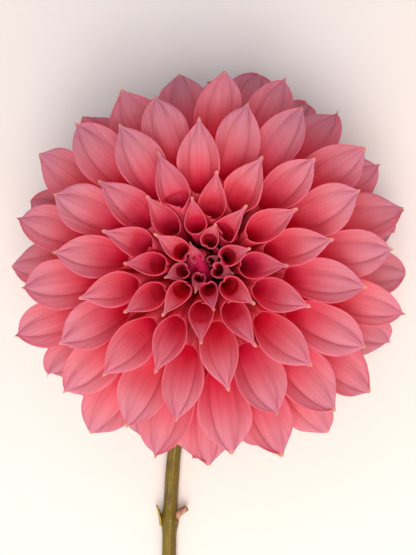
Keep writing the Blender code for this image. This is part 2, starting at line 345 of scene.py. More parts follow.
class Floret:
    """One ray floret in its own upright plane: +X away from the flower's axis, +Z up.

    Its blade is a strip rolled into a tube from the claw to the mouth, and open past that. The
    tube fills the floret's own cell of the spiral, with the midrib on the side away from the
    axis, so that each floret stands behind the tips of the younger ones.
    """

    def __init__(self, bloom, number):
        chance = np.random.default_rng(bloom.seed * 1000 + number + 50)
        old, full = rise(number, 56, 25), rise(number, 14, 40)
        self.age = max(0.0, number / (FLORETS - 1))
        self.grown = rise(number, 12, 40)
        self.chance = chance.uniform()
        self.base = bloom.base_radius

        def differ(spread):
            return bloom.unevenness * chance.normal(0, spread)

        def by_age(young, mature):
            return mix(young, mature, self.grown)

        # How far it reaches and where it points
        short = 0.75 * min(0, number - 9)
        uneven = differ(mix(0.014, 0.026, old))
        self.reach = reach_of(bloom, self.age) * (1 + uneven) + short
        self.tip_polar = max(tip_polar_of(bloom, number), 0.02) + differ(math.radians(1.0))
        self.recurve = math.radians(by_age(5.5, 9)) + differ(math.radians(1.5))

        # Its own cell of the spiral, and the tube that fills it
        inner_polar = max(self.tip_polar - math.radians(6), math.radians(3))
        self.cell = math.sqrt(2 * math.sin(inner_polar) * polar_step(bloom, number))
        self.mouth = mix(0.9, 0.76, rise(number, 3, 15))
        self.mouth = mix(self.mouth, 0.64, rise(number, 8, 34))
        self.mouth -= 0.2 * rise(number, 40, 32) + differ(0.012)
        mouth_radius = mix(self.base, self.reach, self.mouth)
        share = by_age(0.64, 0.74)
        self.tube = min(share * self.cell * mouth_radius, 0.3 * bloom.half_width)
        self.tip_offset = mix(0.5, 0.9, rise(number, 4, 16)) * self.cell * self.reach
        self.cell_polar = self.tip_polar - self.tip_offset / self.reach - self.recurve
        self.base_polar = by_age(0.62, 0.8) * self.cell_polar
        self.lean = by_age(0.9, 1.2)
        self.funnel = by_age(4.2, 1.4)

        # How it opens past its mouth
        self.closed = math.pi * 1.01
        self.flare = by_age(1.5, max(1.5, (0.9 * bloom.half_width / self.tube - 1) / 0.45))
        self.flare *= 1 + differ(0.06)
        self.opening = by_age(0.46, 0.36) * (1 + differ(0.06))
        self.end_curl = by_age(0.55, 0.32)
        self.taper = (mix(1.6, 6.5, full) + 2.5 * old, mix(1.2, 0.7, full) - 0.08 * old)
        self.lip = by_age(mix(0.05, 0.17, rise(number, 4, 14)), 0.12)

        # How it bends, and what makes it differ from its neighbours
        self.recurve += old * math.radians(7) + old * differ(math.radians(6))
        self.twist = differ(math.radians(3 + 5 * self.grown + 8 * old))
        self.bend = differ(0.35 + 0.9 * self.grown)
        self.groove = by_age(0.16, 0.75)
        self.wave = bloom.unevenness * (by_age(0.1, 0.85) + 0.5 * old)
        self.wave_phase = chance.uniform(0, 2 * math.pi)
        blunt = number > 44 and chance.uniform() < 0.6
        self.blunt = chance.uniform(0.4, 1.0) if blunt else 0.0

    def opened(self, along):
        """0 down to the mouth and 1 at the tip."""
        return np.clip((along - self.mouth) / (1 - self.mouth), 0, 1)

    def roll_at(self, along):
        """Radius of the roll: a narrow tube at the claw, and wider and wider past the mouth."""
        tube = mix(1.05, self.tube, np.clip(along / self.mouth, 0, 1) ** self.funnel)
        return tube * (1 + self.flare * self.opened(along) ** 1.25)

    def half_at(self, along):
        """Half the flattened width at each station."""
        past = self.opened(along)
        power, sharpness = self.taper
        if self.blunt:
            fall = (1 - past**power) ** sharpness
            point = 0.2 * self.blunt * smooth(past)
        else:
            fall = (1 - np.minimum(past / POINT_START, 1) ** power) ** sharpness
            point = 0.015 + 0.1 * np.minimum((1 - past) / (1 - POINT_START), 1)
        share = np.maximum(fall, point * smooth(past))
        return self.curl_at(along) * self.roll_at(along) * share

    def curl_at(self, along):
        """Half the angle that the section turns through. It opens fast at the mouth: a round rim."""
        return mix(self.closed, self.end_curl, self.opened(along) ** self.opening)

    def section(self, half, curl, past, across):
        """Sideways and inward places across the blade, and the angle of the surface there."""
        lip = (self.lip * smooth((past - 0.06) / 0.3))[:, None]
        angle = curl[:, None] * (across - lip * across**7)
        middle = (angle[:, 1:] + angle[:, :-1]) / 2
        step = half[:, None] * np.diff(across)[None]
        start = np.zeros((len(half), 1))
        sideways = np.concatenate([start, np.cumsum(np.cos(middle) * step, axis=1)], axis=1)
        inward = np.concatenate([start, np.cumsum(np.sin(middle) * step, axis=1)], axis=1)
        centre = len(across) // 2
        return sideways - sideways[:, [centre]], inward - inward[:, [centre]], angle

    def relief(self, along, across, curl):
        """How far the surface stands off the plain roll: pleats, waves, and one margin tucked in."""
        past = self.opened(along)
        run = smooth(past / 0.3) * (1 - smooth((past - 0.82) / 0.18))
        pleats = -self.groove * np.exp(-(((np.abs(across) - 0.38) / 0.085) ** 2))
        crown = 0.5 * self.groove * np.exp(-((across / 0.22) ** 2))
        wave = self.wave * across**4 * np.sin(9 * along[:, None] + self.wave_phase + 2 * across)
        rolled = smooth((curl - math.radians(150)) / math.radians(30))
        tucked = 0.45 * rolled[:, None] * smooth((across - 0.82) / 0.15)
        return run[:, None] * (pleats + crown) + wave * smooth(past[:, None] / 0.4) + tucked

    def surface(self, along, across):
        """Points of the blade's middle surface, by station and by place across."""
        half = self.half_at(along)
        curl = self.curl_at(along)
        past = self.opened(along)
        radius = mix(self.base, self.reach, along)
        tube = np.clip(along / self.mouth, 0, 1)
        polar = mix(self.base_polar, self.cell_polar, tube**self.lean)
        offset = mix(self.roll_at(np.minimum(along, self.mouth)), self.tip_offset, past)
        polar = polar + offset / radius + self.recurve * past**2
        spine = in_plane(radius * np.sin(polar), radius * np.cos(polar))
        ahead = np.gradient(spine, along, axis=0)
        ahead /= np.linalg.norm(ahead, axis=1, keepdims=True)
        inward_way = in_plane(-ahead[:, 2], ahead[:, 0])
        sideways, inward, angle = self.section(half, curl, past, across)
        relief = self.relief(along, across, curl)
        sideways = sideways - relief * np.sin(angle)
        inward = inward + relief * np.cos(angle)
        turn = (self.twist * along)[:, None]
        across_place = sideways * np.cos(turn) - inward * np.sin(turn) + (self.bend * along**2)[:, None]
        inward_place = sideways * np.sin(turn) + inward * np.cos(turn)
        notch = self.blunt * (2.2 * across**2 + 0.8 * np.exp(-((across / 0.2) ** 2)))
        back = notch * smooth((along[:, None] - 0.75) / 0.25)
        return (
            spine[:, None]
            + SIDEWAYS * across_place[..., None]
            + inward_way[:, None] * inward_place[..., None]
            - ahead[:, None] * back[..., None]
        )


def blurred(grid, times, wrap=False):
    """The grid with each value averaged with its neighbours, a number of times over."""
    for _ in range(times):
        padded = np.pad(grid, ((1, 1), (0, 0)), mode="wrap" if wrap else "edge")
        grid = (padded[:-2] + 2 * padded[1:-1] + padded[2:]) / 4
        padded = np.pad(grid, ((0, 0), (1, 1)), mode="edge")
        grid = (padded[:, :-2] + 2 * padded[:, 1:-1] + padded[:, 2:]) / 4
    return grid


def refined(grid, times):
    """A grid of points with more rows and columns between its own."""
    for axis in (0, 1):
        place = np.linspace(0, grid.shape[axis] - 1, grid.shape[axis] * times)
        low = np.minimum(place.astype(int), grid.shape[axis] - 2)
        share = place - low
        share = share[:, None, None] if axis == 0 else share[None, :, None]
        grid = mix(np.take(grid, low, axis), np.take(grid, low + 1, axis), share)
    return grid


LAYER_TURNS = 360  # the map of what is laid: one row a degree round the axis
LAYER_STEPS = 140  # and one column each half millimetre from the centre
MOST_PUSH = 0.5  # the furthest a point is pressed outwards at once, in radians
PETAL_GAP = 0.25  # between one petal and the next, in millimetres
FLOOR_GAP = 0.45  # how far a petal's middle stays above the surface, in millimetres
LANDING = 2.0  # and from what height it starts to round


class Layers:
    """How far from the upright the florets laid so far stand, by direction and distance.

    Florets don't pass through each other: wherever an older floret would, it is pressed outwards
    against the backs of the younger ones.
    """

    def __init__(self, clearance):
        self.polar = np.zeros((LAYER_TURNS, LAYER_STEPS))
        self.soft = self.polar
        self.clearance = clearance

    def places(self, points, azimuth):
        radius = np.linalg.norm(points, axis=-1)
        polar = np.arccos(np.clip(points[..., 2] / radius, -1, 1))
        turn = np.degrees(np.arctan2(points[..., 1], points[..., 0]) + azimuth) % 360
        return turn, radius, polar

    def look_up(self, turn, radius):
        """The polar angle of what is there already, between the map's own places."""
        column = np.clip(radius * 2, 0, LAYER_STEPS - 1.01)
        left, low = turn.astype(int) % LAYER_TURNS, column.astype(int)
        right = (left + 1) % LAYER_TURNS
        share, climb = turn - turn.astype(int), column - low
        near = mix(self.soft[left, low], self.soft[right, low], share)
        far = mix(self.soft[left, low + 1], self.soft[right, low + 1], share)
        return mix(near, far, climb)

    def press(self, points, azimuth):
        """Moves the points outwards until they clear what is there."""
        self.soft = blurred(self.polar, 1, wrap=True)
        push = np.zeros(points.shape[:2])
        turn, radius, polar = self.places(points, azimuth)
        needed = self.look_up(turn, radius) + self.clearance / radius
        for _ in range(4):
            push = push + np.clip(needed - polar - push, 0, MOST_PUSH)
            push = np.maximum(push, 0.55 * push.max(axis=1, keepdims=True))
            push = blurred(push, 2)
        push = np.maximum(push, np.clip(needed - polar, 0, MOST_PUSH))
        return turned_outwards(points, blurred(push, 1))

    def add(self, points, azimuth):
        """Marks a floret's place, a little past its edges so that the next one clears them."""
        turn, radius, polar = self.places(refined(points, 4), azimuth)
        last = LAYER_STEPS - 1
        column = np.clip((radius * 2).round().astype(int), 0, last)
        row = turn.astype(int)
        for aside in (-1, 0, 1):
            for above in (0, 1, 2):
                spot = ((row + aside) % LAYER_TURNS, np.minimum(column + above, last))
                np.maximum.at(self.polar, spot, polar)


def turned_outwards(points, push):
    """Turns each point about the flower's centre, away from its axis."""
    flat = np.linalg.norm(points[..., :2], axis=-1)
    radius = np.linalg.norm(points, axis=-1)
    polar = np.arctan2(flat, points[..., 2]) + push
    way = points[..., :2] / np.maximum(flat, 1e-6)[..., None]
    across = way * (radius * np.sin(polar))[..., None]
    return np.concatenate([across, (radius * np.cos(polar))[..., None]], axis=-1)


def rest_on_floor(points):
    """Lifts what would sink into the surface, and rounds the turn so that a petal lies on it."""
    height = points[..., 2] - FLOOR - FLOOR_GAP
    landed = LANDING * np.exp((height - LANDING) / LANDING)
    points[..., 2] = np.where(height < LANDING, landed, height) + FLOOR + FLOOR_GAP
    return points


def surface_normals(points):
    along = np.gradient(points, axis=0)
    across = np.gradient(points, axis=1)
    normal = np.cross(across, along)
    length = np.linalg.norm(normal, axis=2, keepdims=True)
    return normal / np.maximum(length, 1e-9)


def shell_faces(rows, columns):
    """Quads of a closed shell: an inner grid, an outer grid turned over, and the rim between them."""
    grid = np.arange(rows * columns).reshape(rows, columns)
    inner = np.stack([grid[:-1, :-1], grid[:-1, 1:], grid[1:, 1:], grid[1:, :-1]], axis=-1).reshape(-1, 4)
    outer = inner[:, ::-1] + rows * columns
    loop = np.concatenate([grid[0, :-1], grid[:-1, -1], grid[-1, :0:-1], grid[:0:-1, 0]])
    ahead = np.roll(loop, -1)
    rim = np.stack([ahead, loop, loop + rows * columns, ahead + rows * columns], axis=1)
    return np.concatenate([inner, outer, rim])


def write_attribute(mesh, name, values):
    attribute = mesh.attributes.new(name, "FLOAT", "POINT")
    attribute.data.foreach_set("value", np.asarray(values, np.float32).ravel())


def shell_mesh(name, points, along, across, thickness, facts):
    """A closed thin blade as a mesh with its UV map and the attributes its material reads."""
    rows, columns = points.shape[:2]
    normal = surface_normals(points)
    margin = 1 - 0.55 * np.abs(across)[None] ** 6
    offset = normal * (thickness / 2 * margin * (1 - 0.4 * along[:, None] ** 8))[..., None]
    both = np.concatenate([(points + offset).reshape(-1, 3), (points - offset).reshape(-1, 3)])
    faces = shell_faces(rows, columns)
    mesh = bpy.data.meshes.new(name)
    mesh.from_pydata((both * MM).tolist(), [], faces.tolist())
    v, u = np.meshgrid(along, (across + 1) / 2, indexing="ij")
    flat = np.stack([np.tile(u.ravel(), 2), np.tile(v.ravel(), 2)], axis=1)
    layer = mesh.uv_layers.new(name="blade")
    corners = np.empty(len(mesh.loops), np.int32)
    mesh.loops.foreach_get("vertex_index", corners)
    layer.data.foreach_set("uv", flat[corners].astype(np.float32).ravel())
    write_attribute(mesh, "inside", np.repeat([0.0, 1.0], rows * columns))
    for key, value in facts.items():
        value = np.broadcast_to(value, (rows, columns)).ravel()
        write_attribute(mesh, key, np.tile(value, 2))
    mesh.shade_smooth()
    return mesh


def lay_florets(bloom):
    """The mesh of every floret, from the youngest out, each pressed against the ones inside it."""
    layers = Layers(bloom.thickness + PETAL_GAP)
    return {number: floret_mesh(bloom, number, layers) for number in range(-IMMATURE, FLORETS)}


FOLDED = (  # start, end, half-width, half-turn in degrees: folded florets that lie over the heart
    ((1.6, -4.4, 28.0), (-1.6, 4.6, 32.5), 1.9, 60),
    ((-3.4, -3.4, 27.0), (-2.6, 2.6, 30.0), 2.6, 35),
    ((3.4, 3.2, 23.0), (4.6, 5.6, 30.0), 1.5, 100),
    ((-4.6, 2.2, 23.0), (-6.4, 3.0, 29.5), 1.4, 110),
    ((-2.6, -5.0, 23.0), (-3.6, -6.6, 29.0), 1.3, 110),
)


def folded_floret(place):
    """A youngest floret that is still folded lengthwise and leans over the heart."""
    start, end, half_width, turn = FOLDED[place]
    start, end = np.array(start), np.array(end)
    along, across = np.linspace(0, 1, 28), np.linspace(-1, 1, 17)
    ahead = (end - start) / np.linalg.norm(end - start)
    side = np.cross(ahead, UPRIGHT)
    side /= np.linalg.norm(side)
    up = np.cross(side, ahead)
    half = half_width * (0.7 + 0.3 * np.sin(math.pi * along)) * (1 - along**5) ** 0.8 + 0.02
    angle = math.radians(turn) * across
    bow = half[:, None] / math.radians(turn)
    sideways = bow * np.sin(angle) + 0.12 * np.sin(9 * along)[:, None] * across
    height = bow * (np.cos(angle) - 1) + 1.1 * np.sin(math.pi * along * 0.8)[:, None]
    points = start + (end - start) * along[:, None, None]
    points = points + side * sideways[..., None] + up * height[..., None]
    facts = {
        "age": 0.0,
        "chance": 0.2 * place,
        "mouth": 0.8,
        "across_mm": half[:, None] * across,
        "along_mm": 9 * along[:, None],
    }
    return shell_mesh(f"folded_{place}", points, along, across, 0.35, facts)


def floret_mesh(bloom, number, layers):
    """A floret's mesh, clear of the ones laid before it and of the surface."""
    floret = Floret(bloom, number)
    below = np.linspace(0, floret.mouth, TUBE_ROWS, endpoint=False)
    steps = np.linspace(0, 1, ROWS - TUBE_ROWS)
    above = mix(floret.mouth, 1.0, mix(steps**1.35, 1 - (1 - steps) ** 1.6, steps))
    along = np.concatenate([below, above])
    across = np.linspace(-1, 1, COLUMNS)
    points = floret.surface(along, across)
    azimuth = azimuth_of(bloom, number)
    if number > 0:
        points = layers.press(points, azimuth)
    points = rest_on_floor(points)
    layers.add(points, azimuth)
    half = floret.half_at(along)
    facts = {
        "age": floret.age,
        "chance": floret.chance,
        "mouth": floret.mouth,
        "across_mm": half[:, None] * across[None],
        "along_mm": (floret.reach - floret.base) * along[:, None],
    }
    return shell_mesh(f"floret_{number:03d}", points, along, across, bloom.thickness, facts)


# ---- the golden spiral, as a geometry node tree ------------------------------------------


def spiral_tree():
    """Turns a collection of pieces round the flower's axis, each by one more step of the spiral."""
    kinds = {"Pieces": "Collection", "Centre": "Vector", "Finish": "Material"}
    kinds |= dict.fromkeys(("Count", "First number", "Seed"), "Int")
    kinds |= dict.fromkeys(("First azimuth", "Divergence", "Crowding", "Crowding skew", "Sway"), "Float")
    nodes = ShapeTree("Golden spiral", kinds)
    given = nodes.given
    index = nodes.out("GeometryNodeInputIndex")
    number = nodes.plus(index, given["First number"])
    turn = nodes.minus(given["First azimuth"], nodes.times(number, given["Divergence"]))
    crowd = nodes.times(given["Crowding"], nodes.math("COSINE", turn))
    skew = nodes.times(given["Crowding skew"], nodes.math("SINE", turn))
    azimuth = nodes.minus(nodes.plus(turn, crowd), skew)
    draw = nodes.add("FunctionNodeRandomValue", {"ID": number, "Seed": given["Seed"]}, data_type="FLOAT")
    # Sockets of several types share a name, so the ones for numbers are found by identifier.
    sockets = {socket.identifier: socket for socket in (*draw.inputs, *draw.outputs)}
    nodes.tree.links.new(nodes.times(given["Sway"], -1.0), sockets["Min_001"])
    nodes.tree.links.new(given["Sway"], sockets["Max_001"])
    rotation = {"Z": nodes.plus(azimuth, sockets["Value_001"])}
    line = {"Count": given["Count"], "Start Location": given["Centre"], "Offset": (0, 0, 0)}
    pieces = {"Collection": given["Pieces"], "Separate Children": True, "Reset Children": True}
    placed = {
        "Points": nodes.out("GeometryNodeMeshLine", line, mode="OFFSET"),
        "Instance": nodes.out("GeometryNodeCollectionInfo", pieces),
        "Pick Instance": True,
        "Instance Index": index,
        "Rotation": nodes.out("ShaderNodeCombineXYZ", rotation),
    }
    return nodes.finish(nodes.out("GeometryNodeInstanceOnPoints", placed))


def spiral_piece(name, meshes, finish, spiral):
    """One piece from a list of meshes, turned round the axis by the spiral tree and baked."""
    members = bpy.data.collections.new(name + "_members")
    for mesh in meshes:
        members.objects.link(bpy.data.objects.new(mesh.name, mesh))
    tree = bpy.data.node_groups.get("Golden spiral") or spiral_tree()
    given = {"Pieces": members, "Count": len(meshes), "Centre": CENTRE, "Finish": finish}
    piece = built(name, bpy.data.meshes.new(name + "_source"), tree, given | spiral)
    for member in list(members.objects):
        bpy.data.objects.remove(member)
    bpy.data.collections.remove(members)
    return piece


# ---- the stem ----------------------------------------------------------------------------


def stem_tree():
    """Sweeps a ribbed, slightly uneven round section along a path whose points hold its radius."""
    kinds = {"Path": "Geometry", "Finish": "Material"}
    kinds |= dict.fromkeys(("Stations", "Sides", "Ribs"), "Int")
    kinds |= dict.fromkeys(("Rib depth", "Bump depth", "Bump scale"), "Float")
    nodes = ShapeTree("Ribbed stem", kinds)
    given = nodes.given

    def stored(geometry, name, value):
        inputs = {"Geometry": geometry, "Name": name, "Value": value}
        return nodes.out("GeometryNodeStoreNamedAttribute", inputs, data_type="FLOAT", domain="POINT")

    spline = nodes.add("GeometryNodeSplineParameter").outputs
    path = nodes.out("GeometryNodeResampleCurve", {"Curve": given["Path"], "Count": given["Stations"]})
    circle = nodes.out("GeometryNodeCurvePrimitiveCircle", {"Resolution": given["Sides"], "Radius": 1.0})
    sweep = {
        "Curve": stored(path, "along_mm", nodes.over(spline["Length"], MM)),
        "Profile Curve": stored(circle, "round", spline["Factor"]),
        "Scale": nodes.out("GeometryNodeInputRadius"),
        "Fill Caps": True,
    }
    turn = nodes.out("GeometryNodeInputNamedAttribute", {"Name": "round"}, data_type="FLOAT")
    wave = nodes.math("COSINE", nodes.times(turn, nodes.times(given["Ribs"], 2 * math.pi)))
    ribs = nodes.times(wave, nodes.times(given["Rib depth"], MM))
    grain = {"Vector": nodes.out("GeometryNodeInputPosition"), "Scale": given["Bump scale"]}
    uneven = nodes.minus(nodes.out("ShaderNodeTexNoise", grain), 0.5)
    uneven = nodes.times(uneven, nodes.times(given["Bump depth"], 2 * MM))
    push = {0: nodes.out("GeometryNodeInputNormal"), "Scale": nodes.plus(ribs, uneven)}
    moved = {
        "Geometry": nodes.out("GeometryNodeCurveToMesh", sweep),
        "Offset": nodes.out("ShaderNodeVectorMath", push, operation="SCALE"),
    }
    return nodes.finish(nodes.out("GeometryNodeSetPosition", moved))


BEND_STEPS = 12  # stations of the stem's path round its bend
LYING_STEPS = 72  # and along the surface


def stem_radius_at(stem, y):
    """The stem, thicker at its node and where it meets the receptacle."""
    swell = stem.node_swell * math.exp(-(((y - stem.node_place) / 2.6) ** 2))
    collar = 1.1 * math.exp(-(((y + 0.2) / 1.5) ** 2))
    return stem.radius + swell + collar


def stem_route(stem):
    """Down from the receptacle, round the bend, and along the surface to the cut end."""
    lying = FLOOR + stem.radius + stem.node_swell + 0.3
    turn_z = lying + stem.bend_radius
    route = [Vector((0, 0, -NECK_DEPTH + 0.6)), Vector((0, 0, (turn_z - NECK_DEPTH) / 2))]
    for step in range(BEND_STEPS + 1):
        angle = math.pi / 2 * step / BEND_STEPS
        y = -stem.bend_radius * (1 - math.cos(angle))
        route.append(Vector((0, y, turn_z - stem.bend_radius * math.sin(angle))))
    for step in range(1, LYING_STEPS + 1):
        share = step / LYING_STEPS
        aside = stem.end[0] * (1 - (1 - share) ** stem.sway)
        route.append(Vector((aside, mix(-stem.bend_radius, stem.end[1], share), lying)))
    return route


def cut_open(mesh, pith):
    """Gives the cut end a rim of green flesh, a ring of bundles and a sunken pale pith."""
    mesh.materials.append(pith)
    body = bmesh.new()
    body.from_mesh(mesh)
    end = min(body.faces, key=lambda face: face.calc_center_median().y - len(face.verts))
    for thickness, depth in ((0.35, 0.05), (0.45, -0.05), (0.3, -0.5), (0.2, -0.4)):
        ring = bmesh.ops.inset_region(body, faces=[end], thickness=thickness * MM, depth=depth * MM)
        for face in ring["faces"]:
            face.material_index = int(depth < 0)
    end.material_index = 1
    body.to_mesh(mesh)
    body.free()
    mesh.set_sharp_from_angle(angle=CUT_ANGLE)


def mark_sides(mesh, route):
    """Writes how far each point stands to the right of the stem's middle, for the painted shade on that
    side.
    """
    places = np.empty(len(mesh.vertices) * 3, np.float32)
    mesh.vertices.foreach_get("co", places)
    places = (places.reshape(-1, 3) - np.array(CENTRE)) / MM
    middle = np.array([(-place.y, place.x) for place in route])
    write_attribute(mesh, "aside_mm", places[:, 0] - np.interp(-places[:, 1], middle[:, 0], middle[:, 1]))


def make_stem_piece(stem, finish, pith):
    """The stem, swept along its path and baked, with its cut end."""
    path = bpy.data.curves.new("stem_path", "CURVE")
    path.dimensions = "3D"
    spline = path.splines.new("POLY")
    route = stem_route(stem)
    spline.points.add(len(route) - 1)
    for point, place in zip(spline.points, route):
        point.co = (*(place * MM + CENTRE), 1)
        point.radius = stem_radius_at(stem, place.y) * MM
    form = {"Stations": 190, "Sides": 72, "Ribs": stem.ribs, "Rib depth": stem.rib_depth}
    skin = {"Bump depth": stem.bump_depth, "Bump scale": 160.0, "Finish": finish}
    piece = built("cut_stem", path, stem_tree(), form | skin)
    cut_open(piece.data, pith)
    mark_sides(piece.data, route)
    return piece


def node_place(stem):
    return min(stem_route(stem), key=lambda place: abs(place.y - stem.node_place))


def bud_scale_points(stem, along, across):
    """A small pointed scale on the left of the node, hugging the stem and then standing off it."""
    node = node_place(stem)
    along = along[:, None]
    half = 2.3 * (1 - along**1.7) * (0.75 + 0.25 * np.sin(math.pi * along))
    radius = stem_radius_at(stem, node.y) + 0.15 + 1.1 * along**2.2
    around = half * across / radius
    outward = radius + 0.15 * np.cos(6 * across)
    x = node.x - outward * np.cos(around)
    z = node.z + outward * np.sin(around) + 0.8 * along**2
    y = node.y - 1.8 + 6.6 * along + 0 * across
    return np.stack([x, y, z], axis=-1)


def stalk_points(stem, along, around):
    """The stub of a cut leaf stalk on the right of the node, flared where it leaves the stem."""
    lean = math.radians(35)
    out = np.array([math.cos(lean), math.sin(lean), 0.0])
    side = np.array([-math.sin(lean), math.cos(lean), 0.0])
    along = along[:, None]
    radius = 1.15 + 1.1 * (1 - along) ** 3 - 0.1 * np.cos(2 * around)
    length = 1.2 + 5.6 * along + 0 * around
    level = side * (radius * np.cos(around))[..., None]
    upright = UPRIGHT * (radius * np.sin(around))[..., None]
    return np.array(node_place(stem)) + out * length[..., None] + level + upright


def capped_tube(name, points):
    """A mesh round rings of points, with its first ring closed and its last ring sunk in like a cut."""
    end = points[-1].mean(axis=0)
    axis = end - points[0].mean(axis=0)
    axis /= np.linalg.norm(axis)
    inner = mix(end, points[-1], 0.72)
    sunk = mix(end, points[-1], 0.6) - axis * 0.45
    grid = np.concatenate([points, inner[None], sunk[None]])
    place = np.arange(grid.shape[0] * grid.shape[1]).reshape(grid.shape[:2])
    ahead = np.roll(place, -1, axis=1)
    quads = np.stack([place[:-1], ahead[:-1], ahead[1:], place[1:]], axis=-1).reshape(-1, 4)
    faces = quads.tolist() + [place[0][::-1].tolist(), place[-1].tolist()]
    mesh = bpy.data.meshes.new(name)
    mesh.from_pydata((grid.reshape(-1, 3) * MM + np.array(CENTRE)).tolist(), [], faces)
    mesh.shade_smooth()
    mesh.set_sharp_from_angle(angle=CUT_ANGLE)
    return mesh


# ---- the bracts --------------------------------------------------------------------------

# Reach from the bloom's centre and angle from the upright, in degrees, from foot to tip;
# then half width, how hollow, and thickness
INNER_BRACT = ((7.6, 21.3), (118, 107), 5.2, 0.2, 0.35)
OUTER_BRACT = ((6.2, 19.3), (142, 122), 2.9, 0.25, 0.8)
BRACT_SEED = 3


def bract_mesh(name, radii, polars, half_width, cup, thickness, chance):
    """A pointed bract in its own upright plane, hollow above, with its tip curved back."""
    along = np.linspace(0, 1, 22)
    across = np.linspace(-1, 1, 13)
    radius = mix(*radii, along) * (1 + 0.03 * chance.normal())
    polar = np.radians(mix(*polars, along**0.8) + 4 * along**3 * (1 + chance.normal(0, 0.4)))
    spine = in_plane(radius * np.sin(polar), radius * np.cos(polar))
    up = in_plane(-np.cos(polar), np.sin(polar))
    half = half_width * mix(0.6, 1, smooth(along / 0.5)) * (1 - smooth((along - 0.5) / 0.5) ** 1.3) + 0.03
    raised = cup * half[:, None] * across**2 + 0.12 * np.cos(across * 11) * (1 - along[:, None])
    side = SIDEWAYS * (half[:, None] * across)[..., None]
    points = spine[:, None] + side + up[:, None] * raised[..., None]
    facts = {"across_mm": half[:, None] * across, "along_mm": radius[:, None]}
    return shell_mesh(name, points, along, across, thickness, facts)


def bract_ring(name, count, form, finish, chance, start, seed):
    """A ring of bracts of one form, evenly round the flower's axis but for a little sway."""
    turn = 2 * math.pi / count
    bracts = [bract_mesh(f"{name}_{place}", *form, chance) for place in range(count)]
    spiral = {"First azimuth": start * turn, "Divergence": -turn, "Sway": 0.05, "Seed": seed}
    return spiral_piece(name, bracts, finish, spiral)


# ---- finishes ----------------------------------------------------------------------------


class Shader(Nodes):
    """A new material's node tree, with short ways to add the nodes that every finish uses."""

    def __init__(self, name):
        self.material = bpy.data.materials.new(name)
        self.material.use_nodes = True
        super().__init__(self.material.node_tree)
        self.surface = self.tree.nodes["Principled BSDF"]

    def set(self, **values):
        self.fill(self.surface, {name.replace("_", " "): value for name, value in values.items()})

    def attribute(self, name):
        return self.add("ShaderNodeAttribute", attribute_name=name).outputs["Fac"]

    def place(self):
        return self.add("ShaderNodeTexCoord").outputs["Object"]

    def blade(self):
        """Places across and along the blade, from 0 to 1."""
        uv = self.out("ShaderNodeUVMap", uv_map="blade")
        return self.add("ShaderNodeSeparateXYZ", {0: uv}).outputs[:2]

    def noise(self, place, scale, detail):
        return self.out("ShaderNodeTexNoise", {"Vector": place, "Scale": scale, "Detail": detail})

    def fibres(self, across, fineness, stretch, detail, own=0.0):
        """Noise drawn out lengthwise, by a fineness across and along, different for each piece."""
        place = {
            0: self.times(self.attribute(across), fineness),
            1: self.times(self.attribute("along_mm"), stretch),
            2: own,
        }
        return self.noise(self.out("ShaderNodeCombineXYZ", place), 1.0, detail)

    def step(self, value, start, end):
        """0 at start, 1 at end, and smooth between."""
        inputs = {"Value": value, "From Min": start, "From Max": end}
        return self.out("ShaderNodeMapRange", inputs, interpolation_type="SMOOTHSTEP")

    def blend(self, share, first, second, mode="MIX"):
        """One colour blended into another. Each is a hex value or comes from a node."""
        colours = [linear(colour) if isinstance(colour, str) else colour for colour in (first, second)]
        inputs = {0: share, 6: colours[0], 7: colours[1]}
        return self.add("ShaderNodeMix", inputs, data_type="RGBA", blend_type=mode).outputs[2]

    def tint(self, skin, share, strength, colour, mode="MIX"):
        """The skin with a colour laid over it, as far as the share and the strength say."""
        return self.blend(self.times(share, strength), skin, colour, mode)

    def ramp(self, value, *stops):
        node = self.add("ShaderNodeValToRGB", {0: value})
        while len(node.color_ramp.elements) < len(stops):
            node.color_ramp.elements.new(0.5)
        for element, (place, colour) in zip(node.color_ramp.elements, stops):
            element.position = place
            element.color = linear(colour)
        return node.outputs[0]

    def bump(self, height, strength, distance):
        """Raises the surface by a height, and gives the normal that this makes."""
        inputs = {"Height": height, "Strength": strength, "Distance": distance}
        normal = self.out("ShaderNodeBump", inputs)
        self.set(Normal=normal)
        return normal


VEIN_SPACING_MM = 0.65
TRANSLUCENCE = 0.52  # how much of the light on a petal goes through it


